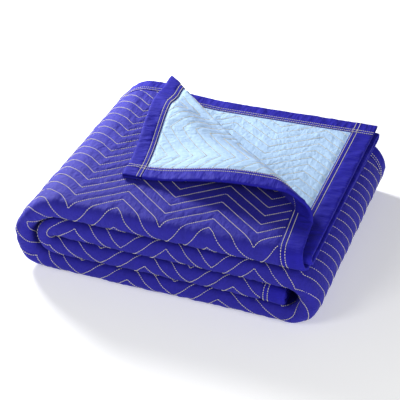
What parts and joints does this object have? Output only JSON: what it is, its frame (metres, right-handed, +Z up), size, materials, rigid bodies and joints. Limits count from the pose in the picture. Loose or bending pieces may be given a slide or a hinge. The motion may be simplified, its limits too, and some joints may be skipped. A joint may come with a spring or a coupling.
{
  "type": "moving blanket",
  "caption": "Quilted moving blanket folded into a flat four-roll stack, one bound corner turned back to show its light underside.",
  "frame": {"origin": "centre of the bounding box's bottom face, on the surface that the stack rests on", "axes": "+Z up, +X along the rolls towards the free end on top, +Y from the folded front to the open back edges"},
  "size_m": [0.553, 0.466, 0.1874],
  "materials": {
    "face_cloth": "matt royal-blue nonwoven polyester with cream zigzag quilting",
    "back_cloth": "matt light-blue nonwoven polyester with cream zigzag quilting",
    "binding_tape": "matt deep-blue woven tape, double stitched"
  },
  "bodies": {
    "root": {"face_panel": "face_cloth", "back_panel": "back_cloth", "binding_upper_side": "binding_tape", "binding_lower_side": "binding_tape", "binding_top_end": "binding_tape", "binding_inner_end": "binding_tape"}
  },
  "joints": []
}
